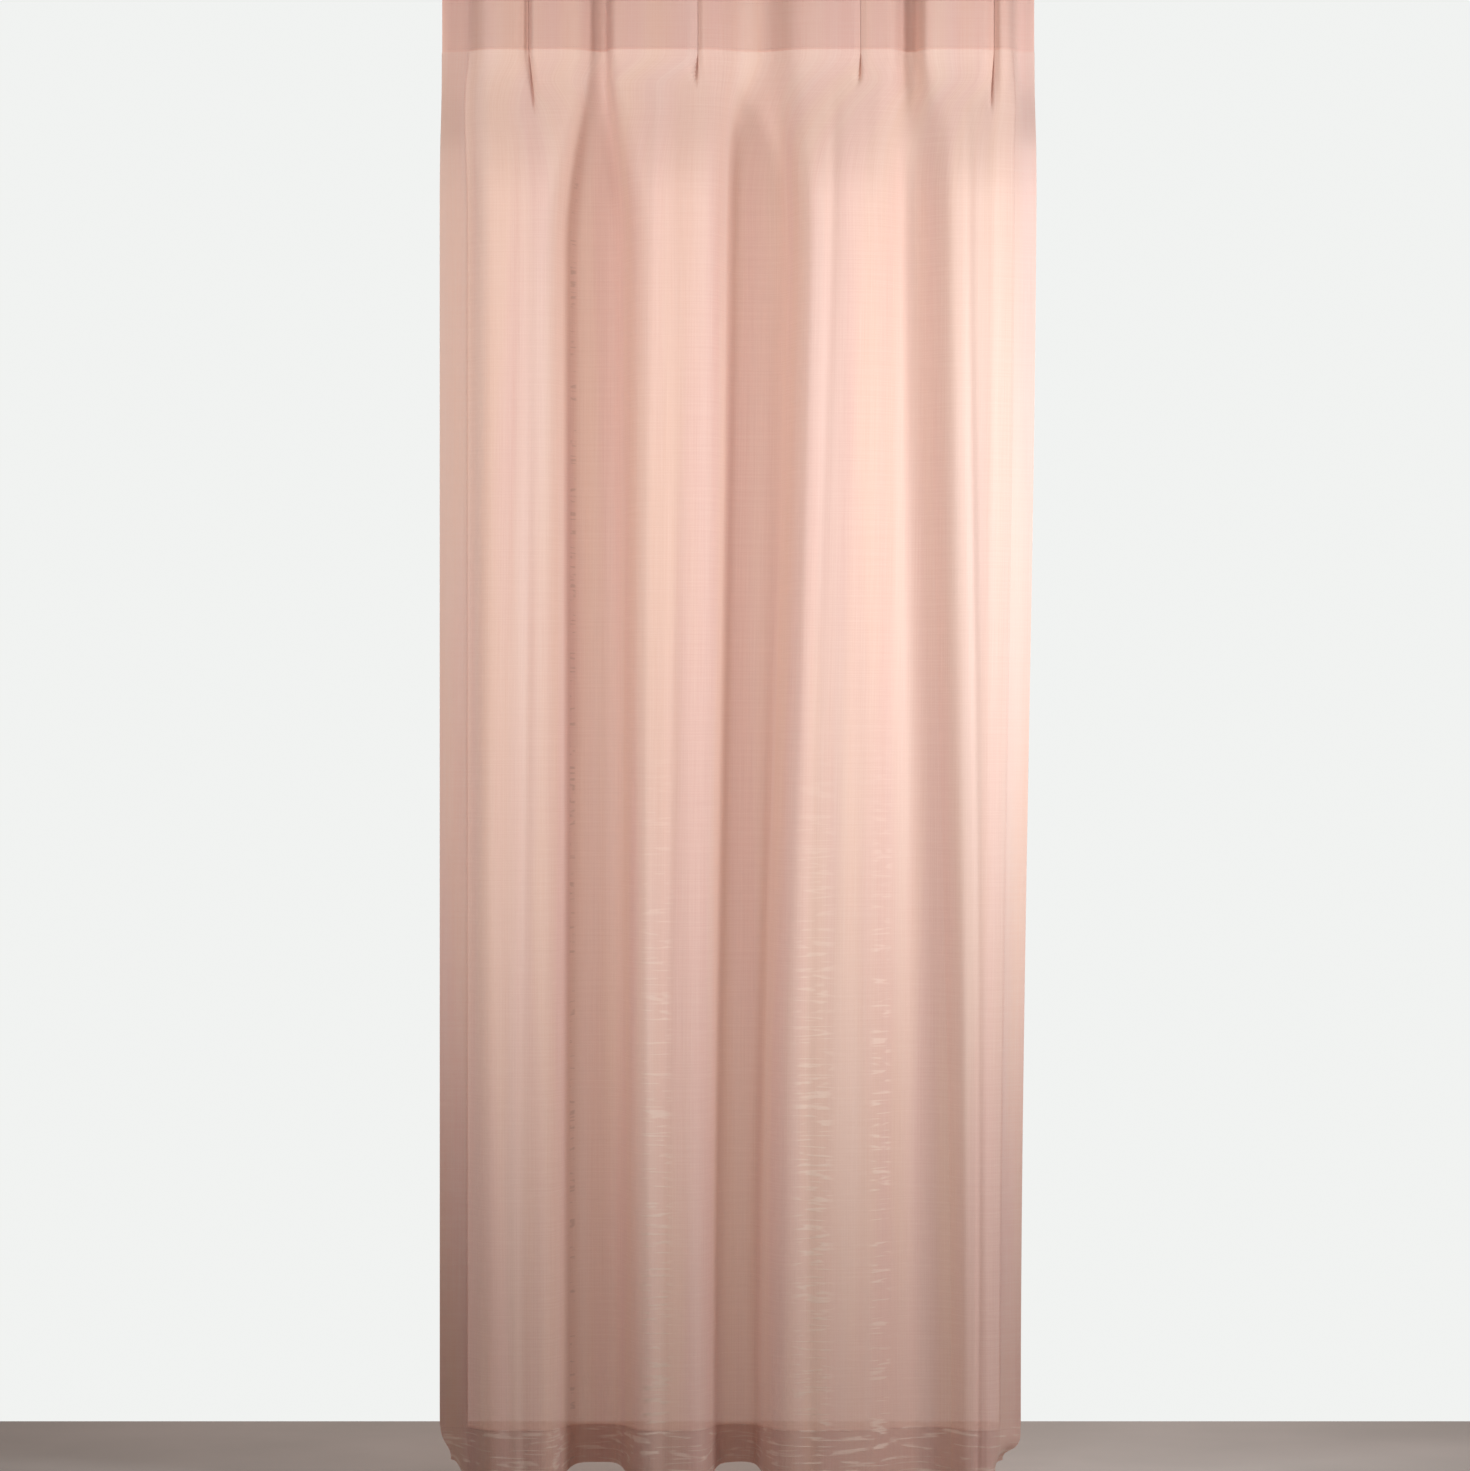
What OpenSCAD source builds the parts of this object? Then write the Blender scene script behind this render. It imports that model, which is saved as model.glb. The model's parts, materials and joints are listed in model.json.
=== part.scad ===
// Fabric room curtain panel: one gathered cloth on nine moulded hooks, with heading tape, cords and hems.
// +Z is up, +X runs along the track, the face of the cloth looks along -Y.
// The origin is the centre of the first hook's seat, where a glider's eye would sit.

/* [Panel] */
// Width of the flat cloth before it is gathered
flat_w = 1400; // [1340:10:1460]
// Height of the finished panel from its top fold to its hem
drop = 2500; // [2200:10:2700]
// How far the cloth stands above the hook seats
top_z = 33; // [30:1:38]
// Cloth that runs past the first hook, at the panel's left edge
left_tail = 14; // [12:1:18]
// Cloth that runs past the last hook, at the panel's right edge
right_tail = 14; // [12:1:18]
// Thickness of one layer of cloth
cloth_t = 0.5; // [0.4:0.05:0.6]

/* [Folds] */
// How softly the cloth turns at the edge of a fold
fold_softness = 8.4; // [7:0.1:9]
// How softly the cloth turns where a hook pinches the heading
pinch_softness = 2.6; // [2.5:0.1:3]
// Half the width of the pinch at a hook
pinch_half = 9.5; // [9:0.5:11]
// Depth of the heading's waves beside the depth of the folds below
heading_share = 0.5; // [0.4:0.05:0.6]
// Height over which the heading's waves turn into the long folds
settle_h = 200; // [180:10:320]
// How far forward the left edge hangs, beside the depth of the folds
left_stand = 0.5; // [0.3:0.05:0.6]

/* [Heading] */
// Depth of the cloth turned over at the top, behind the face
turnover_h = 90; // [86:1:94]
// Height of the woven heading tape
tape_h = 83; // [80:1:84]
// Thickness of the tape
tape_t = 0.5; // [0.4:0.05:0.6]
// Height of one row of woven pockets
pocket_h = 6; // [5:0.5:7]
// Thickness of a draw cord
cord_t = 1.4; // [1.2:0.1:1.6]
// Radius of the knot at each end of a draw cord
knot_r = 2.4; // [2:0.1:2.6]

/* [Hooks] */
// Radius of the seat that rests on a glider's eye
seat_r = 2.5; // [2.5:0.1:2.6]
// Wall of the hook's arch
arch_t = 2.1; // [2:0.05:2.1]
// Width of the hook along the track
hook_w = 4; // [3.6:0.1:4]
// Thickness of the stem that stands in the tape's pockets
stem_t = 1.8; // [1.6:0.1:1.8]
// Depth of the stem's tip below the seat
stem_drop = 44; // [40:1:44]
// Depth of the hook's nose below the seat
nose_drop = 7; // [5:0.5:9]

/* [Hems] */
// Height of the bottom hem
hem_h = 90; // [80:1:100]
// Width of each side hem
side_hem_w = 48; // [44:1:50]
// Thickness of a line of stitching
thread_t = 0.3; // [0.2:0.05:0.3]
// Width of the care label
label_w = 22; // [18:1:24]
// Height of the care label
label_h = 40; // [30:1:50]

/* [Hidden] */
// Where each hook stands along the track, from the first
HOOK_X = [0, 134, 262, 420, 487, 695, 782, 921, 976];
// Where the cloth steps forward (+) or back (-) along its long folds, and by what share of their depth
EDGES = [[48, 0.5], [194, -1], [302, 1], [466, -1], [584, 1], [750, -0.7], [806, 0.7], [955, -0.4]];
// How far the cloth leans sideways by the time it reaches the hem, at places along the track
LEAN = [[-20, 0], [302, 0], [466, -22], [584, -54], [750, -5], [806, 40], [955, -25], [1000, -28]];
// Where the cloth is shared out between the hooks' bodies
SHARES = [80, 228, 350, 445, 527, 718, 860, 946];
HOOKS = len(HOOK_X);

bottom_z = top_z - drop;
hem_top_z = bottom_z + hem_h;
left_u = -left_tail;
right_u = HOOK_X[HOOKS - 1] + right_tail;
share_gap = 0.5;
layer_gap = 0.25;
stem_gap = 0.8;
pocket_gap = 1.6;
pocket_t = 0.4;

// Distances behind the middle of the cloth, layer by layer
turnover_near = cloth_t / 2 + layer_gap;
turnover_far = turnover_near + cloth_t;
tape_near = turnover_far + layer_gap;
tape_far = tape_near + tape_t;
cord_near = tape_far + layer_gap;
stem_near = tape_far + stem_gap;
pocket_near = stem_near + stem_t + pocket_gap;
pocket_far = pocket_near + pocket_t;
hem_far = turnover_near + 2 * cloth_t;
label_t = 0.3;
label_near = hem_far + layer_gap;
label_far = label_near + label_t;
thread_near = -cloth_t / 2 - layer_gap;
thread_far = thread_near - thread_t;

arch_r = seat_r + arch_t;
cloth_back_y = -arch_r - stem_near;

// Heights of what lies across the heading
turnover_z = top_z - turnover_h;
tape_top_z = top_z - 5;
tape_low_z = tape_top_z - tape_h;
pocket_zs = [-14, -27, -40];
cord_zs = [13, -49.5];
thread_h = 0.6;
heading_thread_zs = [tape_top_z - 3, tape_low_z + 3];
hem_thread_z = hem_top_z - 3;
side_thread_in = 6;
label_z = hem_top_z + 45;

// Rows of points down the cloth: the heading, the stretch where it settles, and the long folds
settle_z = turnover_z - 5;
SETTLE_ROWS = [for (k = [0:5]) settle_z - settle_h * k / 5];
LONG_ROWS = [settle_z - settle_h - 560, settle_z - settle_h - 1270];
ROWS = concat([top_z], SETTLE_ROWS, LONG_ROWS, [hem_top_z, bottom_z]);
SIDE_ROWS = concat([turnover_z - 1], SETTLE_ROWS, LONG_ROWS, [hem_top_z + 1]);

// Distances from a hook and from a fold's edge at which the cloth has a point, and the step in between
HOOK_STEPS = [0, 2, 4, 8, 12, 16, 19];
EDGE_STEPS = [0, 4, 9, 14, 20, 28];
plain_step = 25;
// How far the layers at the back stop short of the panel's edges
tape_inset = 4;
cord_inset = 8;

function total(list) = list * [for (v = list) 1];
function rise(t) = 1 / (1 + exp(-t));
function ease(t) = let (c = max(0, min(1, t))) c * c * (3 - 2 * c);

function fold_shape(u) = left_stand + total([for (e = EDGES) e[1] * rise((u - e[0]) / fold_softness)]);

// A pinch holds the cloth back at its hook. The first and the last hold it back right to the panel's edge.
function pinch(k, u) =
    let (left = k == 0 ? 1 : rise((u - HOOK_X[k] + pinch_half) / pinch_softness),
         right = k == HOOKS - 1 ? 0 : rise((u - HOOK_X[k] - pinch_half) / pinch_softness),
         spill = rise(-pinch_half / pinch_softness))
    (left - right) / (k == 0 || k == HOOKS - 1 ? 1 - spill : 1 - 2 * spill);
function heading_shape(u) = 1 - total([for (k = [0:HOOKS - 1]) pinch(k, u)]);

// 0 in the heading, 1 once the long folds have formed
function settled(z) = ease((settle_z - z) / settle_h);
function leaning(z) = ease((settle_z - z) / (settle_z - hem_top_z));
function forward(u, z) =
    (1 - settled(z)) * heading_share * heading_shape(u) + settled(z) * fold_shape(u);
function across(u, z) = u + lookup(u, LEAN) * leaning(z);

function is_step(u, places, steps) =
    len([for (p = places) for (s = steps) if (abs(abs(u - p) - s) < 0.5) s]) > 0;
EDGE_PLACES = [for (e = EDGES) e[0]];
STATIONS = concat([left_u],
    [for (u = [left_u + 1:right_u - 1])
        if (u % plain_step == 0 || is_step(u, HOOK_X, HOOK_STEPS) || is_step(u, EDGE_PLACES, EDGE_STEPS)) u],
    [right_u]);
function stations(from, to) = concat([from], [for (u = STATIONS) if (u > from && u < to) u], [to]);
function inset(reach) = stations(left_u + reach, right_u - reach);

// The depth of the folds at a height is what uses up the flat width of the cloth
function paces(z) =
    let (places = [for (u = STATIONS) [across(u, z), forward(u, z)]])
    [for (k = [1:len(places) - 1]) places[k] - places[k - 1]];
function run(paces, depth) = total([for (p = paces) norm([p[0], depth * p[1]])]);
function depth_between(paces, low, high, tries) =
    let (mid = (low + high) / 2)
    tries == 0 ? mid
    : run(paces, mid) < flat_w ? depth_between(paces, mid, high, tries - 1)
    : depth_between(paces, low, mid, tries - 1);
function depth_at(z) = depth_between(paces(z), 20, 160, 14);

// Where a side hem ends, as a place along the track. The cloth slopes at the right edge.
left_hem_u = left_u + side_hem_w;
right_hem_u = right_u - round(side_hem_w * 0.77);

function middle(u, z, depth) = [across(u, z), cloth_back_y - depth * forward(u, z)];
function behind(u, z, depth, off) =
    let (along = middle(u + 0.1, z, depth) - middle(u - 0.1, z, depth))
    middle(u, z, depth) + off * [-along[1], along[0]] / norm(along);

// Every layer runs straight from station to station, and one that ends between two stations ends on that line
function layer_line(us, z, depth, off) =
    let (places = [for (u = STATIONS) concat(u, behind(u, z, depth, off))],
         xs = [for (p = places) [p[0], p[1]]],
         ys = [for (p = places) [p[0], p[2]]])
    [for (u = us) [lookup(u, xs), lookup(u, ys)]];

// A closed outline of one layer, seen from above
function outline(us, z, near, far) =
    let (depth = depth_at(z), back = layer_line(us, z, depth, far), n = len(us))
    concat(layer_line(us, z, depth, near), [for (k = [n - 1:-1:0]) back[k]]);

// A layer of the same outline from one height to another
module band(us, low_z, high_z, near, far) {
    translate([0, 0, low_z])
        linear_extrude(height = high_z - low_z)
            polygon(outline(us, low_z, near, far));
}

// A layer whose outline changes from row to row. Its two sides are split along the same diagonals.
module sheet(us, zs, near, far) {
    n = len(us);
    ring = 2 * n;
    rows = len(zs);
    points = [for (z = zs) let (line = outline(us, z, near, far)) for (p = line) [p[0], p[1], z]];
    walls = [for (r = [0:rows - 2]) for (k = [0:ring - 1])
        let (a = r * ring + k, b = r * ring + (k + 1) % ring)
        each k < n ? [[a, a + ring, b], [b, a + ring, b + ring]]
                   : [[a, a + ring, b + ring], [a, b + ring, b]]];
    top = [for (k = [0:n - 2]) [k, k + 1, ring - 2 - k, ring - 1 - k]];
    last = (rows - 1) * ring;
    bottom = [for (k = [0:n - 2]) [last + k, last + ring - 1 - k, last + ring - 2 - k, last + k + 1]];
    polyhedron(points, concat(walls, top, bottom));
}

// The stretch of cloth that one hook carries
module cloth_strip(k) {
    from = k == 1 ? left_u : SHARES[k - 2] + share_gap;
    to = k == HOOKS ? right_u : SHARES[k - 1] - share_gap;
    color([0.90, 0.76, 0.71])
        sheet(stations(from, to), ROWS, -cloth_t / 2, cloth_t / 2);
}

module heading_turnover() {
    color([0.80, 0.64, 0.59])
        band(STATIONS, turnover_z, top_z, turnover_near, turnover_far);
}

module heading_tape() {
    color([0.93, 0.92, 0.90])
        band(inset(tape_inset), tape_low_z, tape_top_z, tape_near, tape_far);
}

// Three rows of woven pockets, which the hooks' stems stand in
module tape_pockets() {
    color([0.96, 0.95, 0.93])
        for (z = pocket_zs)
            band(inset(tape_inset), z - pocket_h / 2, z + pocket_h / 2, pocket_near, pocket_far);
}

// A cord along the tape, with a knot at each end
module draw_cord(z) {
    us = inset(cord_inset);
    ends = [us[0], us[len(us) - 1]];
    color([0.97, 0.96, 0.94]) {
        band(us, z - cord_t / 2, z + cord_t / 2, cord_near, cord_near + cord_t);
        for (u = ends) {
            at = layer_line([u], z, depth_at(z), cord_near + knot_r);
            translate([at[0][0], at[0][1], z])
                sphere(r = knot_r, $fn = 32);
        }
    }
}

module side_hem(from, to) {
    color([0.82, 0.66, 0.61])
        sheet(stations(from, to), SIDE_ROWS, turnover_near, hem_far);
}

module side_stitching(u) {
    color([0.78, 0.60, 0.55])
        sheet([u - thread_h / 2, u + thread_h / 2], SIDE_ROWS, thread_far, thread_near);
}

module bottom_hem() {
    color([0.72, 0.56, 0.51])
        band(STATIONS, bottom_z, hem_top_z, turnover_near, hem_far);
}

module cross_stitching(z) {
    color([0.78, 0.60, 0.55])
        band(inset(tape_inset), z - thread_h / 2, z + thread_h / 2, thread_far, thread_near);
}

module care_label() {
    from = left_u + 1;
    color([0.97, 0.97, 0.96])
        sheet(stations(from, from + label_w), [label_z + label_h, label_z], label_near, label_far);
}

// A moulded hook: an arch over the glider's eye, a nose behind it and a stem in the pockets.
// Its outline is drawn with Y across and Z up, then given its width along the track.
module hook(k) {
    tip_r = stem_t / 2;
    stem_y = -arch_r + tip_r;
    nose_r = arch_t / 2;
    nose_y = seat_r + nose_r;
    color([0.95, 0.95, 0.94])
        translate([HOOK_X[k - 1], 0, 0])
            rotate([90, 0, 90])
                linear_extrude(height = hook_w, center = true) {
                    difference() {
                        circle(r = arch_r, $fn = 64);
                        circle(r = seat_r, $fn = 64);
                        translate([-2 * arch_r, -4 * arch_r])
                            square([4 * arch_r, 4 * arch_r]);
                    }
                    translate([-arch_r, -stem_drop + tip_r])
                        square([stem_t, stem_drop - tip_r + 0.01]);
                    translate([stem_y, -stem_drop + tip_r])
                        circle(r = tip_r, $fn = 32);
                    translate([seat_r, -nose_drop + nose_r])
                        square([arch_t, nose_drop - nose_r + 0.01]);
                    translate([nose_y, -nose_drop + nose_r])
                        circle(r = nose_r, $fn = 32);
                }
}

for (k = [1:HOOKS]) {
    cloth_strip(k);
    hook(k);
}
heading_turnover();
heading_tape();
tape_pockets();
draw_cord(cord_zs[0]);  // draw_cord_upper
draw_cord(cord_zs[1]);  // draw_cord_lower
side_hem(left_u, left_hem_u);  // side_hem_left
side_hem(right_hem_u, right_u);  // side_hem_right
bottom_hem();
cross_stitching(heading_thread_zs[0]);  // heading_stitching_upper
cross_stitching(heading_thread_zs[1]);  // heading_stitching_lower
side_stitching(left_hem_u - side_thread_in);  // side_stitching_left
side_stitching(right_hem_u + side_thread_in);  // side_stitching_right
cross_stitching(hem_thread_z);  // hem_stitching
care_label();
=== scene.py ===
"""Looks of the fabric room curtain panel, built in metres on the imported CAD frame.

The cloth is worked out as one surface: a place along the cut cloth and a height give a point, and every layer at
the back, every stitch and every cord is laid at its own distance behind that surface.
"""
import json
import math

import bpy
import numpy as np
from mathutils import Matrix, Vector

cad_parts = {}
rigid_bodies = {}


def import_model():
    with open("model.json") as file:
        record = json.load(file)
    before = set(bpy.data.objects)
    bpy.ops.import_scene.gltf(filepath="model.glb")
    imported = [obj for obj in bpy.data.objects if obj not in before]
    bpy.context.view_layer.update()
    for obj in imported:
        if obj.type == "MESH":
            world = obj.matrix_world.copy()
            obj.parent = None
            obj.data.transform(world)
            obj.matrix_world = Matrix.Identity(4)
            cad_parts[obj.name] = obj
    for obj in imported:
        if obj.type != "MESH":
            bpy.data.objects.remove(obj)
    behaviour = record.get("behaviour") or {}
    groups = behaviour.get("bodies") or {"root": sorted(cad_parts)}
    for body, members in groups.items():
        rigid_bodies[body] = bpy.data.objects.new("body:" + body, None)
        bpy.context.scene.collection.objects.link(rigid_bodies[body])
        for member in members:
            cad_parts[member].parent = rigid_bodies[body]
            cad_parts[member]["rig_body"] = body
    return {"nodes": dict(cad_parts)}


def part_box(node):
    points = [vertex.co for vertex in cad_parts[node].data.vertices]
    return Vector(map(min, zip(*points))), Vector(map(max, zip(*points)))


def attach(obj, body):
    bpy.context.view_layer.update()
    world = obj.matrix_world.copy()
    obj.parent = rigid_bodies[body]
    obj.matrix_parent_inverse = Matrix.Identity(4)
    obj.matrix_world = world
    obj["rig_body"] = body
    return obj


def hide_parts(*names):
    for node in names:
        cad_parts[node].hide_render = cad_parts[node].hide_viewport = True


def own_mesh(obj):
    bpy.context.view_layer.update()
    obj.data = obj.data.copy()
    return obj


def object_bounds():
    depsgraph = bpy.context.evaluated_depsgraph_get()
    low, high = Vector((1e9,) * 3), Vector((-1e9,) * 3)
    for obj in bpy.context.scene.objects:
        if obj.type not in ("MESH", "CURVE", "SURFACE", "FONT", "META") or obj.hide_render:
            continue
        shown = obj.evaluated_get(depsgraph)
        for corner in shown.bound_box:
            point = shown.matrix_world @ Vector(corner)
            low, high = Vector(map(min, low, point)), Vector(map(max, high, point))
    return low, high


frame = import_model()
CAD_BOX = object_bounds()
MM = 0.001

# ---------------------------------------------------------------- sizes
FLAT_W = 1.400
HOOK_COUNT = 9
HOOK_X = [sum(corner.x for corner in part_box(f"hook_{k + 1}")) / 2 for k in range(HOOK_COUNT)]
LEFT_U = CAD_BOX[0].x
RIGHT_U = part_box("heading_turnover")[1].x
TOP_Z = CAD_BOX[1].z
BOTTOM_Z = CAD_BOX[0].z
TURNOVER_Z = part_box("heading_turnover")[0].z
TAPE_TOP_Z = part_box("heading_tape")[1].z
TAPE_LOW_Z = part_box("heading_tape")[0].z
HEM_TOP_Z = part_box("bottom_hem")[1].z
HEM_H = HEM_TOP_Z - BOTTOM_Z
CLOTH_BACK_Y = -7.15 * MM
# Below the heading, the heights over which its turns get softer, its waves deepen and its waves move sideways
SETTLE_Z = TURNOVER_Z - 5 * MM
SETTLE_H = 170 * MM
DEEPEN_H = 260 * MM
DRIFT_H = 330 * MM
SIDE_HEM_W = 48 * MM

# Distances behind the middle of the cloth
TURNOVER_OFF = 0.75 * MM
HEM_INNER_OFF = 0.75 * MM
HEM_OUTER_OFF = 1.35 * MM
TAPE_NEAR, TAPE_FAR = 1.25 * MM, 1.75 * MM

# ---------------------------------------------------------------- camera
SEEN_WIDE = 2.483
CAMERA_AWAY = 9.0
CLOTH_PLANE_Y = -0.05


def make_camera():
    data = bpy.data.cameras.new("camera")
    data.sensor_width = 36
    data.lens = data.sensor_width * CAMERA_AWAY / SEEN_WIDE
    camera = bpy.data.objects.new("camera", data)
    camera.location = (0.4826, CLOTH_PLANE_Y - CAMERA_AWAY, -1.216)
    camera.rotation_euler = (math.radians(90), 0, 0)
    bpy.context.scene.collection.objects.link(camera)
    bpy.context.scene.camera = camera


make_camera()

# ---------------------------------------------------------------- the cloth's surface
# Each turn of the cloth: its place, step and softness in the heading, then in the long folds
EDGES = [
    (40, 1, 8.0, 48, 0.5, 8.4), (234, -1, 10.0, 194, -1.0, 8.4), (269, 1, 2.6, 302, 1.0, 8.4),
    (474, -1, 13.0, 466, -1.0, 8.4), (562, 1, 12.0, 584, 1.0, 8.4), (762, -1, 4.6, 750, -0.7, 17.0),
    (795, 1, 3.2, 806, 0.7, 16.0), (954, -1, 4.6, 955, -0.4, 12.0),
]
# The panel's left edge hangs half way forward in the long folds
LEFT_STAND = 0.5
# How far the cloth leans sideways by the time it reaches the hem
LEAN_U = [-20, 302, 466, 584, 750, 806, 955, 1000]
LEAN = [0, 0, -22, -54, -5, 40, -25, -28]
# Hooks in the middle of a fold pinch the cloth: how far down it is felt, how far it slants on the way, how deep
# its groove is, and how wide the groove is to the left and to the right of the closed slot
PINCHES = {
    1: (115, 12, 0.30, 26, 8),
    3: (60, -3, 0.10, 16, 10),
    5: (60, -2, 0.07, 16, 14),
    7: (110, -7, 0.26, 20, 13),
}
# Half the width of a pinch's closed slot, and how softly its lips turn, in millimetres
SLOT_HALF, SLOT_SOFT = 0.08, 0.03
# Soft ridges and dips along the folds: place, width, height and wander in millimetres, and the phase of the wander
RIPPLES = [
    (66, 16, 2.2, 6, 0.3), (104, 10, -1.6, 9, 1.7), (131, 9, -3.4, 5, 2.9), (158, 14, 2.0, 7, 0.9),
    (246, 22, 2.4, 9, 4.1), (282, 12, -1.8, 6, 5.2), (344, 12, 2.4, 7, 1.1), (378, 11, -3.2, 6, 3.3),
    (416, 16, 1.8, 8, 0.2), (500, 16, 1.6, 8, 2.2), (540, 14, -1.6, 9, 4.8), (618, 13, 2.0, 6, 5.9),
    (642, 9, -2.8, 7, 1.4), (672, 14, 2.2, 9, 3.9), (704, 10, -2.6, 6, 0.8), (730, 12, 1.4, 5, 2.6),
    (846, 13, 1.8, 6, 4.4), (880, 8, -3.0, 6, 5.4), (912, 13, 2.4, 7, 1.9), (940, 10, -1.6, 5, 3.1),
]


def rise(t):
    return 1 / (1 + np.exp(-np.clip(t, -40, 40)))


def ease(t):
    t = np.clip(t, 0, 1)
    return t * t * (3 - 2 * t)


def mix(a, b, t):
    return a + (b - a) * t


def settled(z):
    return ease((SETTLE_Z - z) / SETTLE_H)


def leaning(z):
    return ease((SETTLE_Z - z) / (SETTLE_Z - HEM_TOP_Z))


def forward(u, z):
    """How far forward the cloth stands, as a share of the folds' depth. u is in millimetres."""
    share = settled(z)
    found = LEFT_STAND * share
    drift = ease((SETTLE_Z - z) / DRIFT_H)
    for place, step, soft, long_place, long_step, long_soft in EDGES:
        here = (u - mix(place, long_place, drift)) / mix(soft, long_soft, share)
        found = found + mix(step, long_step, share) * rise(here)
    for k, pinch in PINCHES.items():
        found = found - pinched(u - HOOK_X[k] / MM, z, *pinch)
    return found


def pinched(d, z, reach, slant, groove, wide_left, wide_right):
    """How far a hook holds back the cloth at a distance d from it, as a share of the folds' depth."""
    down = np.clip((SETTLE_Z - z) / (reach * MM), 0, 1)
    d = d - slant * down
    wide = np.where(d < 0, wide_left, wide_right) * (1 + 1.2 * down)
    open_by = 1 + 24 * down
    half, soft = SLOT_HALF * open_by, SLOT_SOFT * open_by
    slot = rise((half + d) / soft) * rise((half - d) / soft) / rise(half / soft) ** 2
    closed = groove * (1 - ease(np.abs(d) / wide)) ** 1.5
    return mix(closed, 1, slot) * (1 - ease(down))


def ripple(u, z):
    """Soft ridges and dips in millimetres, forward of the folds."""
    down = ease((SETTLE_Z - z) / (200 * MM))
    found = 0
    for place, width, height, wander, phase in RIPPLES:
        at = place + wander * np.sin(phase + z * 2.1)
        swell = 0.75 + 0.35 * np.sin(2 * phase + z * 3.7)
        found = found + height * swell * np.exp(-((u - at) / width) ** 2)
    return found * down


def across(u, z):
    return u + np.interp(u, LEAN_U, LEAN) * leaning(z)


def heights_from(*stretches):
    """Heights going down: each stretch is (from, to, step), and the next starts where it ends."""
    found = []
    for start, end, step in stretches:
        count = max(1, round((start - end) / step))
        found += list(np.linspace(start, end, count + 1)[:-1])
    return np.array(found + [stretches[-1][1]])


FOLDS_Z = -0.33
PANEL_ROWS = heights_from((TOP_Z, TURNOVER_Z, 5 * MM), (TURNOVER_Z, FOLDS_Z, 7 * MM),
                          (FOLDS_Z, HEM_TOP_Z, 30 * MM), (HEM_TOP_Z, BOTTOM_Z, 7 * MM))


def depth_of(z, u, x):
    """The folds' depth in millimetres that uses up the flat width at each height."""
    shape, extra = forward(u, z), ripple(u, z)
    low, high = np.full_like(z, 15.0), np.full_like(z, 170.0)
    for _ in range(24):
        depth = (low + high) / 2
        run = np.hypot(np.diff(x, axis=1), np.diff(depth * shape + extra, axis=1)).sum(axis=1, keepdims=True)
        low, high = np.where(run < FLAT_W / MM, depth, low), np.where(run < FLAT_W / MM, high, depth)
    return depth


def plan_curves(heights, steps=1600):
    """For each height, distances along the cut cloth with their x and y.

    The heading and the long folds each use up the flat width. Between them the depth is eased from one to the other,
    and there the cloth is shorter than its flat width.
    """
    z = np.asarray(heights, float)[:, None]
    fine = [np.concatenate([np.arange(-6, 6, 0.2), np.arange(-0.8, 0.8, 0.015)]) + HOOK_X[k] / MM for k in PINCHES]
    u = np.sort(np.concatenate([np.linspace(LEFT_U, RIGHT_U, steps) / MM, *fine]))[None, :]
    x = across(u, z)
    ends = np.array([[TURNOVER_Z], [HEM_TOP_Z]])
    shallow, deep = depth_of(ends, u, across(u, ends))[:, 0]
    depth = mix(shallow, deep, ease((SETTLE_Z - z) / DEEPEN_H))
    y = depth * forward(u, z) + ripple(u, z)
    along = np.concatenate([np.zeros_like(z), np.hypot(np.diff(x, axis=1), np.diff(y, axis=1)).cumsum(axis=1)], axis=1)
    return along / along[:, -1:] * FLAT_W, x * MM, CLOTH_BACK_Y - y * MM


def panel_columns():
    """Places along the cut cloth where the panel has points: closer together at the lips of each pinch."""
    along, x, _ = plan_curves([0.0])
    lips = [np.interp(HOOK_X[k] + side * 1.0 * MM, x[0], along[0]) for k in PINCHES for side in (-1, 1)]
    close = [lip + np.arange(-10, 10.1, 0.9) * MM for lip in lips]
    base = [s for s in np.linspace(0, FLAT_W, 441) if min(abs(s - lip) for lip in lips) > 10.5 * MM]
    return np.sort(np.concatenate([base, *close]))


PANEL_COLUMNS = panel_columns()


def hem_lift(y, height):
    """Where the cloth lies back, its hem seam hangs a little lower and its bottom edge a little higher."""
    back = np.clip((y - CLOTH_BACK_Y + 0.10) / 0.10, 0, 1)
    near_hem = ease((HEM_TOP_Z + 0.25 - height) / 0.25)
    in_hem = np.clip((HEM_TOP_Z - height) / HEM_H, 0, 1)
    return near_hem * back * mix(-6 * MM, 20 * MM, in_hem)


# The bottom corners curl in and back: how far in, back and up the very corner goes, and the cloth it takes along
CORNERS = [(0.0, 1, (18, 9, 24), 50 * MM, 95 * MM), (FLAT_W, -1, (30, 9, 28), 75 * MM, 75 * MM)]


def curl_corners(grid, places, heights):
    for edge, inward, move, reach, high in CORNERS:
        beside = ease(1 - np.abs(places - edge) / reach)[None, :]
        low = ease(1 - (heights - BOTTOM_Z) / high)[:, None]
        share = beside * low
        for axis, far in enumerate((inward * move[0], move[1], move[2])):
            grid[..., axis] += far * MM * share ** (1.4 if axis == 2 else 1.0)


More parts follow.
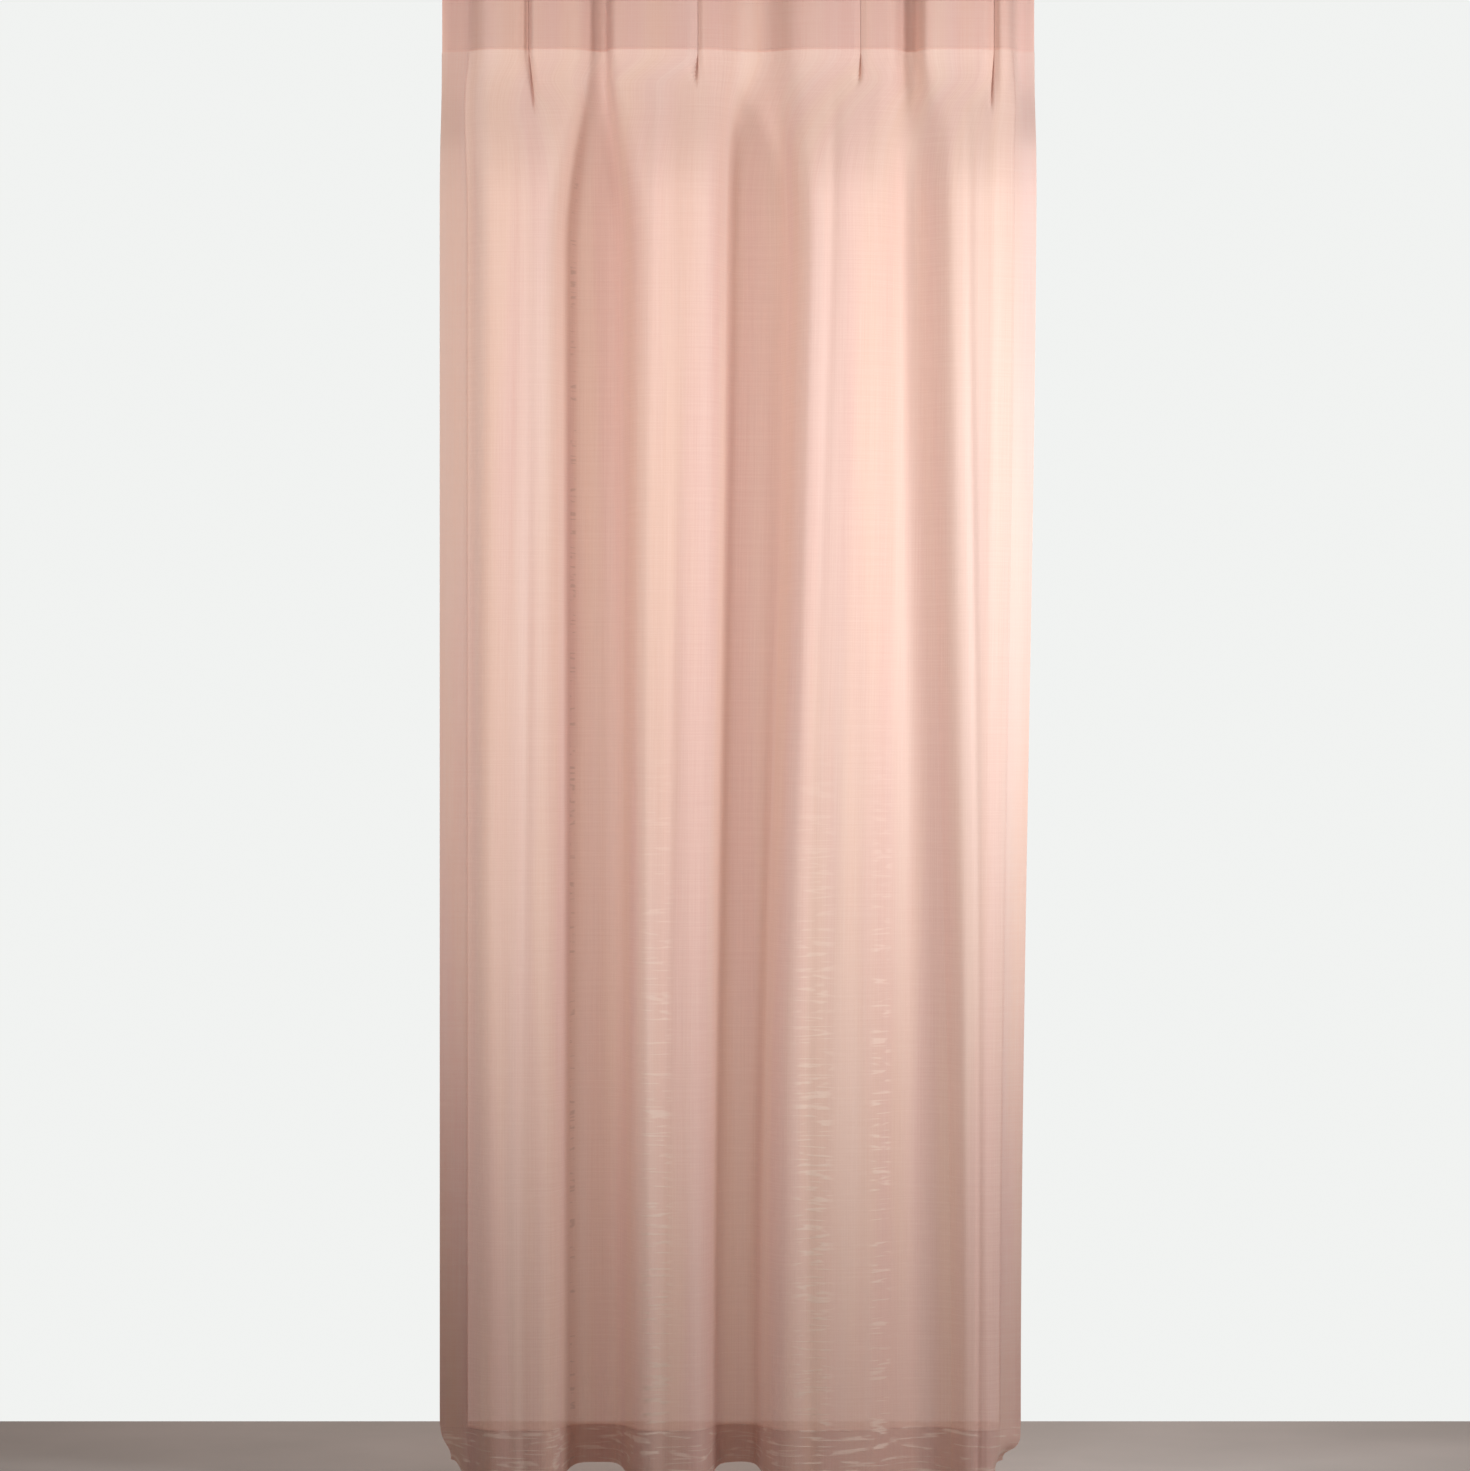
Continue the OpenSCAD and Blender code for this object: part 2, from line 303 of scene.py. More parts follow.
class Cloth:
    """The hung cloth as a grid of points and directions, read at any place along the cut cloth and any height."""

    def __init__(self, places, heights):
        self.places, self.heights = places, heights
        along, x, y = plan_curves(heights)
        self.grid = np.zeros((len(heights), len(places), 3))
        for row, height in enumerate(heights):
            self.grid[row, :, 0] = np.interp(places, along[row], x[row])
            self.grid[row, :, 1] = np.interp(places, along[row], y[row])
            self.grid[row, :, 2] = height + hem_lift(self.grid[row, :, 1], height)
        curl_corners(self.grid, places, np.asarray(heights))
        self.side = np.gradient(self.grid, self.places, axis=1)
        down = -np.gradient(self.grid, self.heights, axis=0)
        self.normal = np.cross(self.side, down)
        self.normal /= np.linalg.norm(self.normal, axis=-1, keepdims=True)

    def read(self, values, s, z):
        column = np.interp(s, self.places, np.arange(len(self.places)))
        row = np.interp(-z, -self.heights, np.arange(len(self.heights)))
        c = np.minimum(column.astype(int), len(self.places) - 2)
        r = np.minimum(row.astype(int), len(self.heights) - 2)
        across_share, down_share = (column - c)[..., None], (row - r)[..., None]
        upper = mix(values[r, c], values[r, c + 1], across_share)
        lower = mix(values[r + 1, c], values[r + 1, c + 1], across_share)
        return mix(upper, lower, down_share)

    def at(self, s, z, off=0.0):
        """Points off behind the cloth. Past its edges and ends the cloth goes on straight."""
        s, z, off = np.broadcast_arrays(*(np.asarray(v, float) for v in (s, z, off)))
        point = self.read(self.grid, s, z)
        side = self.read(self.side, s, z)
        beyond = s - np.clip(s, self.places[0], self.places[-1])
        point = point + side * beyond[..., None] + self.read(self.normal, s, z) * off[..., None]
        point[..., 2] += z - np.clip(z, self.heights[-1], self.heights[0])
        return point

    def place_of(self, x, z):
        """Where along the cut cloth a place along the track is, in the heading."""
        row = int(np.argmin(abs(self.heights - z)))
        return float(np.interp(x, self.grid[row, :, 0], self.places))


cloth = Cloth(PANEL_COLUMNS, PANEL_ROWS)


# ---------------------------------------------------------------- mesh helpers
def add_object(name, vertices, faces, material, uvs=None, smooth=True):
    mesh = bpy.data.meshes.new(name)
    mesh.from_pydata([tuple(v) for v in vertices], [], faces)
    mesh.update()
    if uvs is not None:
        layer = mesh.uv_layers.new(name="weave")
        loops = np.zeros(len(mesh.loops), np.int32)
        mesh.loops.foreach_get("vertex_index", loops)
        layer.data.foreach_set("uv", np.asarray(uvs, np.float32)[loops].ravel())
    mesh.polygons.foreach_set("use_smooth", [smooth] * len(mesh.polygons))
    piece = bpy.data.objects.new(name, mesh)
    bpy.context.scene.collection.objects.link(piece)
    piece.data.materials.append(material)
    return piece


def grid_faces(rows, columns, start=0):
    a = np.arange(rows * columns).reshape(rows, columns) + start
    quads = np.stack([a[:-1, :-1], a[1:, :-1], a[1:, 1:], a[:-1, 1:]], axis=-1)
    return quads.reshape(-1, 4).tolist()


def ride_cloth(piece, *nodes, slot="curtain_cloth"):
    """A soft piece that hangs from the first hook: it is attached to the fixed_end body, and the CAD nodes it stands
    for are hidden.
    """
    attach(piece, "fixed_end")
    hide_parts(*nodes)
    return piece


# ---------------------------------------------------------------- materials
class Nodes:
    """A material's node tree, built one node at a time."""

    def __init__(self, name):
        self.material = bpy.data.materials.new(name)
        self.material.use_nodes = True
        self.tree = self.material.node_tree
        self.tree.nodes.clear()

    def add(self, kind, inputs=None, **settings):
        node = self.tree.nodes.new("ShaderNode" + kind)
        for key, value in settings.items():
            setattr(node, key, value)
        for key, value in (inputs or {}).items():
            if isinstance(value, bpy.types.NodeSocket):
                self.tree.links.new(value, node.inputs[key])
            else:
                node.inputs[key].default_value = value
        return node

    def math(self, operation, a, b=0.0, clamp=False):
        return self.add("Math", {0: a, 1: b}, operation=operation, use_clamp=clamp).outputs[0]

    def stretched(self, source, sx, sy, sz=1.0):
        return self.add("Mapping", {"Vector": source, "Scale": (sx, sy, sz)}).outputs[0]

    def noise(self, source, sx, sy, detail=2.0, rough=0.5, sz=1.0):
        vector = self.stretched(source, sx, sy, sz)
        return self.add("TexNoise", {"Vector": vector, "Scale": 1.0, "Detail": detail, "Roughness": rough}).outputs[0]

    def ramp(self, value, low, high, to_low=0.0, to_high=1.0):
        node = self.add("MapRange", {"Value": value, "From Min": low, "From Max": high,
                                     "To Min": to_low, "To Max": to_high}, clamp=True)
        return node.outputs[0]

    def blend(self, share, a, b, kind="MIX"):
        node = self.add("Mix", data_type="RGBA", blend_type=kind)
        for key, value in ((0, share), (6, a), (7, b)):
            if isinstance(value, bpy.types.NodeSocket):
                self.tree.links.new(value, node.inputs[key])
            else:
                node.inputs[key].default_value = value if key == 0 else (*value, 1)
        return node.outputs[2]

    def finish(self, shader):
        output = self.add("OutputMaterial")
        self.tree.links.new(shader, output.inputs["Surface"])
        return self.material


# Bands on forward folds where thick slubs of weft show near the hem and are painted paler, partly as painted
# highlight: middle and half width in millimetres along the track
SLUB_AND_PAINTED_HIGHLIGHT_BANDS = [(351, 28), (612, 36), (727, 24)]
# Heights over which they grow in, and the band of the hem that has them all the way across
SLUB_FROM_Z, SLUB_FULL_Z = -1.15, -1.95
# A fold's edge in shade, and half its width: there slubs get painted shade, darker marks all the way down
PAINTED_SHADE_SLUBS = (207, 11)


def cloth_material(name="curtain_cloth", openness=0.07):
    n = Nodes(name)
    weave = n.add("UVMap", uv_map="weave").outputs[0]
    place = n.add("SeparateXYZ", {0: weave})
    s, z = place.outputs[0], place.outputs[1]

    def near(middle, half):
        hem_row = int(np.argmin(abs(cloth.heights - HEM_TOP_Z)))
        at = float(np.interp(middle * MM, cloth.grid[hem_row, :, 0], cloth.places))
        away = n.math("ABSOLUTE", n.math("SUBTRACT", s, at))
        return n.ramp(away, half * 0.6 * MM, half * 1.1 * MM, 1.0, 0.0)

    # Colour: pink and peach patches that run down the cloth, with fine warp streaks
    pink, peach, pale = (0.84, 0.58, 0.52), (0.86, 0.615, 0.515), (0.90, 0.75, 0.69)
    patch = n.ramp(n.noise(weave, 12, 0.8, 2), 0.40, 0.60)
    color = n.blend(patch, pink, peach)
    wash = n.noise(weave, 16, 0.6, 2)
    color = n.blend(n.ramp(wash, 0.48, 0.68, 0.0, 0.32), color, pale)
    streak = n.noise(weave, 420, 5, 3, 0.65)
    color = n.blend(n.ramp(streak, 0.3, 0.75, 0.0, 0.32), color, pale)
    pick = n.noise(weave, 7, 520, 2, 0.6)
    color = n.blend(n.ramp(pick, 0.35, 0.8, 0.0, 0.25), color, pale)
    # Slubs: thick stretches of weft that run nearly level, in bands that grow stronger down the cloth. Their colour is
    # partly painted: paler as painted highlight in the bands, darker as painted shade on a fold's edge
    level = n.math("ABSOLUTE", n.math("SUBTRACT", n.noise(weave, 5, 74, 1.0), 0.5))
    slub = n.ramp(level, 0.02, 0.055, 1.0, 0.0)
    slub = n.math("MULTIPLY", slub, n.ramp(n.noise(weave, 26, 90, 1), 0.44, 0.54))
    grown = n.ramp(z, SLUB_FULL_Z, SLUB_FROM_Z, 1.0, 0.0)
    in_band = n.ramp(z, HEM_TOP_Z - 2 * MM, HEM_TOP_Z + 2 * MM, 0.8, 0.10)
    for middle, half in SLUB_AND_PAINTED_HIGHLIGHT_BANDS:
        in_band = n.math("MAXIMUM", in_band, near(middle, half))
    slub_and_painted_highlight = n.math("MULTIPLY", slub, n.math("MULTIPLY", in_band, grown))
    # Painted shade: slubs along a fold's edge that lies in shade are painted darker, from below the heading down
    painted_shade_slub = n.math("MULTIPLY", slub, near(*PAINTED_SHADE_SLUBS))
    painted_shade_slub = n.math("MULTIPLY", painted_shade_slub, n.ramp(z, -0.35, -0.12, 1.0, 0.0))
    # Painted highlight on real slubs: the slubs in the bands are painted paler, like yarn catching the light
    color = n.blend(n.math("MULTIPLY", slub_and_painted_highlight, 0.42), color, (0.96, 0.84, 0.74))
    color = n.blend(n.math("MULTIPLY", painted_shade_slub, 0.36), color, (0.50, 0.36, 0.30))
    # Painted shade: where the cloth is folded double in the heading, it is painted a deeper colour, standing in for
    # the darker look of light through two layers
    doubled = n.ramp(z, TURNOVER_Z - 1 * MM, TURNOVER_Z + 1 * MM)
    color = n.blend(n.math("MULTIPLY", doubled, 0.6), color, (0.98, 0.89, 0.87), "MULTIPLY")
    # Height of the yarns
    warp = n.math("SINE", n.math("MULTIPLY", s, 2 * math.pi / (0.7 * MM)))
    weft = n.math("SINE", n.math("MULTIPLY", z, 2 * math.pi / (0.8 * MM)))
    yarns = n.math("MULTIPLY", n.math("MULTIPLY", warp, weft), 0.25)
    height = n.math("ADD", yarns, n.math("MULTIPLY", streak, 0.8))
    height = n.math("ADD", height, n.math("MULTIPLY", pick, 0.6))
    height = n.math("ADD", height, n.math("MULTIPLY", slub_and_painted_highlight, 0.9))
    bump = n.add("Bump", {"Height": height, "Strength": 0.35, "Distance": 0.4 * MM}).outputs[0]
    rough = n.ramp(streak, 0.3, 0.7, 0.78, 0.92)
    # The cloth is closer where it is doubled: in the heading, at both sides and along the bottom
    from_middle = n.math("ABSOLUTE", n.math("SUBTRACT", s, FLAT_W / 2))
    inner = FLAT_W / 2 - SIDE_HEM_W
    close = n.ramp(from_middle, inner - 1 * MM, inner + 1 * MM)
    close = n.math("MAXIMUM", close, n.ramp(z, HEM_TOP_Z - 1 * MM, HEM_TOP_Z + 1 * MM, 0.6, 0.0))
    close = n.math("MAXIMUM", close, n.math("MULTIPLY", doubled, 0.7))
    front = n.add("BsdfPrincipled", {"Base Color": color, "Roughness": rough, "Normal": bump,
                                     "Sheen Weight": 0.25, "Sheen Roughness": 0.5, "Specular IOR Level": 0.2})
    deeper = n.blend(0.75, color, (0.98, 0.80, 0.70), "MULTIPLY")
    through = n.add("BsdfTranslucent", {"Color": deeper, "Normal": bump})
    thin = n.math("SUBTRACT", 0.29, n.math("MULTIPLY", slub_and_painted_highlight, 0.2))
    thin = n.math("SUBTRACT", thin, n.math("MULTIPLY", close, 0.13), True)
    body = n.add("MixShader", {0: thin, 1: front.outputs[0], 2: through.outputs[0]})
    gap = n.ramp(n.math("ADD", n.math("MULTIPLY", streak, 0.6), n.math("MULTIPLY", pick, 0.4)),
                 0.35, 0.65, openness * 1.3, openness * 0.6)
    gap = n.math("MULTIPLY", gap, n.math("SUBTRACT", 1.0, n.math("MAXIMUM", slub_and_painted_highlight, close)))
    clear = n.add("BsdfTransparent", {"Color": (1, 0.93, 0.9, 1)})
    whole = n.add("MixShader", {0: gap, 1: body.outputs[0], 2: clear.outputs[0]})
    return n.finish(whole.outputs[0])


CLOTH = cloth_material()


# ---------------------------------------------------------------- cloth pieces
def make_panel():
    uvs = np.stack(np.meshgrid(PANEL_COLUMNS, PANEL_ROWS), axis=-1).reshape(-1, 2)
    faces = grid_faces(len(PANEL_ROWS), len(PANEL_COLUMNS))
    piece = add_object("cloth_panel", cloth.grid.reshape(-1, 3), faces, CLOTH, uvs)
    return ride_cloth(piece, *[f"cloth_strip_{k + 1}" for k in range(HOOK_COUNT)])


def laid(name, section, lines, upright, material, closed=False, lift=0.0):
    """A layer with one section all along. The section is pairs of (place or height, distance behind the cloth).

    An upright layer's section runs along the cloth and its lines are heights; the others are the other way round.
    lift adds to the distance behind, line by line.
    """
    across_path, off_path = np.asarray(section, float).T
    lengths = np.concatenate([[0], np.hypot(np.diff(across_path), np.diff(off_path)).cumsum()])
    lines = np.asarray(lines, float)
    off = off_path[:, None] + np.broadcast_to(lift, lines.shape)[None, :]
    if upright:
        points = cloth.at(across_path[:, None], lines[None, :], off)
        uvs = np.stack(np.broadcast_arrays(lengths[:, None], lines[None, :]), axis=-1)
    else:
        points = cloth.at(lines[None, :], across_path[:, None], off)
        uvs = np.stack(np.broadcast_arrays(lines[None, :], lengths[:, None]), axis=-1)
    count = len(lines)
    faces = grid_faces(len(section), count)
    if closed:
        last = (len(section) - 1) * count
        faces += [(last + k, k, k + 1, last + k + 1) for k in range(count - 1)]
        faces += [[r * count for r in range(len(section))], [r * count + count - 1 for r in range(len(section))][::-1]]
    return add_object(name, points.reshape(-1, 3), faces, material, uvs.reshape(-1, 2))


def u_turn(edge, middle, radius, sign, steps=6):
    """Half a circle round a fold's edge, from its near side to its far side."""
    angles = np.linspace(0, math.pi, steps + 1)
    return [(edge + sign * radius * math.sin(a), middle - radius * math.cos(a)) for a in angles]


def straight(start, end, off, step):
    count = max(1, round(abs(end - start) / step))
    return [(float(at), off) for at in np.linspace(start, end, count + 1)[1:]]


def make_turnover():
    section = u_turn(TOP_Z, TURNOVER_OFF / 2, TURNOVER_OFF / 2, 1)
    section += straight(TOP_Z, TURNOVER_Z, TURNOVER_OFF, 5 * MM)
    return ride_cloth(laid("heading_turnover", section, PANEL_COLUMNS, False, CLOTH), "heading_turnover")


def hem_section(edge, inward, width):
    """A double-turned hem: round the edge, in over the back, and tucked under itself."""
    tuck = (HEM_OUTER_OFF - HEM_INNER_OFF) / 2
    section = u_turn(edge, HEM_OUTER_OFF / 2, HEM_OUTER_OFF / 2, -inward)
    section += straight(edge, edge + inward * width, HEM_OUTER_OFF, 6 * MM)
    section += u_turn(edge + inward * width, HEM_OUTER_OFF - tuck, tuck, inward, 4)[::-1][1:]
    return section + straight(edge + inward * width, edge + inward * 1.5 * MM, HEM_INNER_OFF, 6 * MM)


SIDE_ROWS = heights_from((TURNOVER_Z - 1 * MM, FOLDS_Z, 8 * MM), (FOLDS_Z, HEM_TOP_Z + 1 * MM, 16 * MM))


def make_side_hem(name, edge, inward):
    piece = laid(name, hem_section(edge, inward, SIDE_HEM_W), SIDE_ROWS, True, CLOTH)
    return ride_cloth(piece, name)


def make_bottom_hem():
    piece = laid("bottom_hem", hem_section(BOTTOM_Z, 1, HEM_H), PANEL_COLUMNS, False, CLOTH)
    return ride_cloth(piece, "bottom_hem")


# ---------------------------------------------------------------- heading tape, pockets and cords
TAPE_IN = 5 * MM
TAPE_COLUMNS = np.linspace(TAPE_IN, FLAT_W - TAPE_IN, 481)
POCKET_ZS = (-14 * MM, -27 * MM, -40 * MM)
POCKET_H = 6 * MM
POCKET_PITCH = 7 * MM
POCKET_T = 0.35 * MM
POCKET_OFF = TAPE_FAR + 0.1 * MM
STEM_FAR = 4.35 * MM
CORD_R = 0.7 * MM
KNOT_R = 2.4 * MM
CORD_ZS = (13 * MM, -49.5 * MM)
HOOK_S = [cloth.place_of(x, 0.0) for x in HOOK_X]


def slab_section(low, high, near, far, step):
    """A thin slab's closed section, with its corners eased."""
    ease_by = min(0.12 * MM, (far - near) / 3)
    section = [(high - ease_by, near)] + straight(high - ease_by, low + ease_by, near, step)
    section += [(low, near + ease_by), (low, far - ease_by), (low + ease_by, far)]
    return section + straight(low + ease_by, high - ease_by, far, step) + [(high, far - ease_by), (high, near + ease_by)]


def make_tape(material):
    section = slab_section(TAPE_LOW_Z, TAPE_TOP_Z, TAPE_NEAR, TAPE_FAR, 6 * MM)
    piece = laid("heading_tape", section, TAPE_COLUMNS, False, material, closed=True)
    return ride_cloth(piece, "heading_tape", slot="heading_tape")


def pocket_bulge(s):
    """How far a row of pockets stands off the tape: a little at each pocket, and out over a hook's stem."""
    pocket = 1.1 * MM * np.sqrt(np.abs(np.sin(np.pi * s / POCKET_PITCH)))
    over_stem = 0.0
    for place in HOOK_S:
        over_stem = np.maximum(over_stem, 1 - ease((np.abs(s - place) - 7.6 * MM) / (5.0 * MM)))
    return np.maximum(pocket, over_stem * (STEM_FAR + 1.6 * MM - POCKET_OFF))


def make_pockets(material):
    columns = np.arange(TAPE_IN, FLAT_W - TAPE_IN, 1.0 * MM)
    rows = []
    for z in POCKET_ZS:
        section = slab_section(z - POCKET_H / 2, z + POCKET_H / 2, POCKET_OFF, POCKET_OFF + POCKET_T, 2 * MM)
        rows.append(laid("pocket_row", section, columns, False, material, closed=True, lift=pocket_bulge(columns)))
    return ride_cloth(join("tape_pockets", rows), "tape_pockets", slot="heading_tape")


def join(name, parts):
    """Several meshes of one material as one piece."""
    bpy.ops.object.select_all(action="DESELECT")
    for part in parts:
        part.select_set(True)
    bpy.context.view_layer.objects.active = parts[0]
    bpy.ops.object.join()
    parts[0].name = parts[0].data.name = name
    return parts[0]


def tube(name, path, radius, sides, material, closed=False):
    """A round tube along a path. radius may differ from point to point."""
    path = np.asarray(path, float)
    ahead = np.roll(path, -1, axis=0) - np.roll(path, 1, axis=0)
    if not closed:
        ahead[0], ahead[-1] = path[1] - path[0], path[-1] - path[-2]
    ahead /= np.linalg.norm(ahead, axis=1, keepdims=True)
    up = np.array([0.13, 0.21, 0.97])
    one = np.cross(ahead, up)
    one /= np.linalg.norm(one, axis=1, keepdims=True)
    two = np.cross(one, ahead)
    angles = np.linspace(0, 2 * math.pi, sides, endpoint=False)
    ring = one[:, None] * np.cos(angles)[None, :, None] + two[:, None] * np.sin(angles)[None, :, None]
    points = path[:, None] + ring * np.broadcast_to(radius, len(path))[:, None, None]
    count = len(path)
    faces = [(a * sides + k, a * sides + (k + 1) % sides, b * sides + (k + 1) % sides, b * sides + k)
             for a, b in zip(range(count), [*range(1, count), 0]) if closed or b for k in range(sides)]
    if not closed:
        faces += [list(range(sides))[::-1], [(count - 1) * sides + k for k in range(sides)]]
    lengths = np.concatenate([[0], np.linalg.norm(np.diff(path, axis=0), axis=1).cumsum()])
    uvs = np.stack(np.broadcast_arrays(lengths[:, None], (angles * np.mean(radius))[None, :]), axis=-1)
    return add_object(name, points.reshape(-1, 3), faces, material, uvs.reshape(-1, 2))


def make_cord(name, z, material):
    """A draw cord: it floats over the tape and dips through it, and ends in a knot at each end."""
    ends = 10 * MM
    s = np.arange(ends, FLAT_W - ends, 1.5 * MM)
    dip = np.clip(np.sin(2 * np.pi * s / (14 * MM)) * 1.6 + 1.1, -0.5, 1)
    off = TAPE_FAR + mix(-0.5 * MM, CORD_R + 0.1 * MM, (dip + 0.5) / 1.5)
    parts = [tube("cord", cloth.at(s, z, off), CORD_R, 8, material)]
    turns = np.linspace(0, 2 * math.pi, 60, endpoint=False)
    knot = np.stack([np.sin(turns) + 2 * np.sin(2 * turns), np.sin(3 * turns),
                     np.cos(turns) - 2 * np.cos(2 * turns)], axis=1) * (KNOT_R - CORD_R) / 3
    for end in (s[0], s[-1]):
        middle = cloth.at(end, z, TAPE_FAR + KNOT_R * 0.8)
        parts.append(tube("knot", middle + knot, CORD_R * 0.95, 8, material, closed=True))
    return ride_cloth(join(name, parts), name, slot="draw_cord")


# ---------------------------------------------------------------- stitching
STITCH_PITCH = 3.2 * MM
STITCH_L = 2.5 * MM
THREAD_R = 0.16 * MM
STITCH_SHARES = np.array([-0.5, -0.42, -0.15, 0.15, 0.42, 0.5])
STITCH_SINK = np.array([1.9, 0.7, 0.0, 0.0, 0.7, 1.9]) * THREAD_R
STITCH_SIZE = np.array([0.5, 0.95, 1.0, 1.0, 0.95, 0.5])


def stitch_row(name, start, end, fixed, upright, back_off, material):
    """A seam's stitches on the face and on the back. fixed is the seam's height, or its place if it is upright."""
    length = abs(end - start)
    count = int(length / STITCH_PITCH)
    middles = min(start, end) + STITCH_PITCH * (np.arange(count) + 0.5)
    sides, vertices, faces = 6, [], []
    angles = np.linspace(0, 2 * math.pi, sides, endpoint=False)
    for off, sink in ((-THREAD_R, 1), (back_off + THREAD_R, -1)):
        shift = 0 if sink == 1 else STITCH_PITCH / 2
        along = middles[:, None] + shift + STITCH_SHARES * STITCH_L
        slant = STITCH_SHARES * 0.25 * MM * np.where(np.arange(count) % 2, 1, -1)[:, None] * 0.3
        offs = np.broadcast_to(off + sink * STITCH_SINK, along.shape)
        places, heights = (fixed + slant, along) if upright else (along, fixed + slant)
        middle = cloth.at(places, heights, offs)
        outward = cloth.read(cloth.normal, *np.broadcast_arrays(places, heights))
        ahead = np.gradient(middle, axis=1)
        ahead /= np.linalg.norm(ahead, axis=-1, keepdims=True)
        beside = np.cross(ahead, outward)
        ring = (outward[:, :, None] * np.cos(angles)[:, None] + beside[:, :, None] * np.sin(angles)[:, None])
        ring = middle[:, :, None] + ring * (THREAD_R * STITCH_SIZE)[None, :, None, None]
        base, rings = sum(len(v) for v in vertices), len(STITCH_SHARES)
        vertices.append(ring.reshape(-1, 3))
        for stitch in range(count):
            first = base + stitch * rings * sides
            for r in range(rings - 1):
                a, b = first + r * sides, first + (r + 1) * sides
                faces += [(a + k, a + (k + 1) % sides, b + (k + 1) % sides, b + k) for k in range(sides)]
            faces.append(tuple(first + k for k in range(sides))[::-1])
            faces.append(tuple(first + (rings - 1) * sides + k for k in range(sides)))
    piece = add_object(name, np.concatenate(vertices), faces, material)
    return ride_cloth(piece, name, slot="sewing_thread")


# ---------------------------------------------------------------- care label
LABEL_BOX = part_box("care_label")
LABEL_IN = 1.5 * MM
LABEL_W = 22 * MM


def make_label(material):
    """A blank satin ribbon folded in two, sewn by its top to the side hem."""
    high, low = LABEL_BOX[1].z, LABEL_BOX[0].z
    base = HEM_OUTER_OFF + 0.3 * MM
    front = [(float(z), base + 1.2 * MM * ((high - z) / (high - low)) ** 2) for z in np.linspace(high, low, 12)]
    back = [(z, off + 0.35 * MM + 0.9 * MM * math.sin(math.pi * (high - z) / (high - low))) for z, off in front]
    fold = u_turn(low, (front[-1][1] + back[-1][1]) / 2, (back[-1][1] - front[-1][1]) / 2, -1, 6)
    piece = laid("care_label", front + fold[1:-1] + back[::-1], np.linspace(LABEL_IN, LABEL_IN + LABEL_W, 14),
                 False, material)
    return ride_cloth(piece, "care_label", slot="care_label")


# ---------------------------------------------------------------- hooks
SEAT_R = 2.5 * MM
ARCH_R = 4.6 * MM
HOOK_W = 4 * MM
STEM_T = 1.8 * MM
STEM_LOW_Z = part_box("hook_1")[0].z
NOSE_LOW_Z = -7 * MM


def hook_path():
    """The middle of the hook's bar, from the stem's tip over the arch to the nose, with its thickness and width."""
    arch_t, ring_r = ARCH_R - SEAT_R, (ARCH_R + SEAT_R) / 2
    stem_y = -ARCH_R + STEM_T / 2
    rows = []
    tip = [(0.0, 0.10), (0.25, 0.55), (0.6, 0.82), (1.1, 0.96), (1.8, 1.0)]
    for up, share in tip:
        rows.append((stem_y, STEM_LOW_Z + up * MM, STEM_T * share, HOOK_W * (0.35 + 0.65 * share) * 0.8))
    for k in range(1, 27):
        z = STEM_LOW_Z + (1.8 + k * 1.5) * MM
        rib = 0.94 + 0.06 * (k % 3 == 0)
        rows.append((stem_y, z, STEM_T * rib, HOOK_W * (0.80 + 0.2 * ease((k - 12) / 8))))
    for angle in np.linspace(180, 0, 25):
        a = math.radians(angle)
        start = stem_y + ring_r
        shift = start * (1 + math.cos(math.pi * (180 - angle) / 180)) / 2
        rows.append((ring_r * math.cos(a) + shift, ring_r * math.sin(a), arch_t * 0.97, HOOK_W))
    nose = [(1.5, 0.98), (3.0, 0.98), (4.5, 0.97), (5.6, 0.9), (6.3, 0.74), (6.75, 0.5), (6.97, 0.15)]
    for down, share in nose:
        rows.append((ring_r, -down * MM, arch_t * share, HOOK_W * (0.3 + 0.7 * share)))
    return np.array(rows)


def make_hook(k, material):
    rows = hook_path()
    middle = np.stack([np.full(len(rows), HOOK_X[k]), rows[:, 0], rows[:, 1]], axis=1)
    ahead = np.gradient(middle, axis=0)
    ahead /= np.linalg.norm(ahead, axis=1, keepdims=True)
    wide = np.array([1.0, 0, 0])
    thick = np.cross(ahead, wide)
    angles = np.linspace(0, 2 * math.pi, 20, endpoint=False)
    round_off = 0.42  # a squarish oval
    c = np.sign(np.cos(angles)) * np.abs(np.cos(angles)) ** round_off
    d = np.sign(np.sin(angles)) * np.abs(np.sin(angles)) ** round_off
    ring = (wide * (rows[:, 3, None] / 2 * c)[..., None] + thick[:, None] * (rows[:, 2, None] / 2 * d)[..., None])
    points, sides, count = middle[:, None] + ring, len(angles), len(rows)
    faces = [(r * sides + i, r * sides + (i + 1) % sides, (r + 1) * sides + (i + 1) % sides, (r + 1) * sides + i)
             for r in range(count - 1) for i in range(sides)]
    faces += [list(range(sides))[::-1], [(count - 1) * sides + i for i in range(sides)]]
    node = f"hook_{k + 1}"
    piece = add_object(f"moulded_hook_{k + 1}", points.reshape(-1, 3), faces, material)
    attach(piece, frame["nodes"][node]["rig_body"])
    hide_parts(node)
    return piece


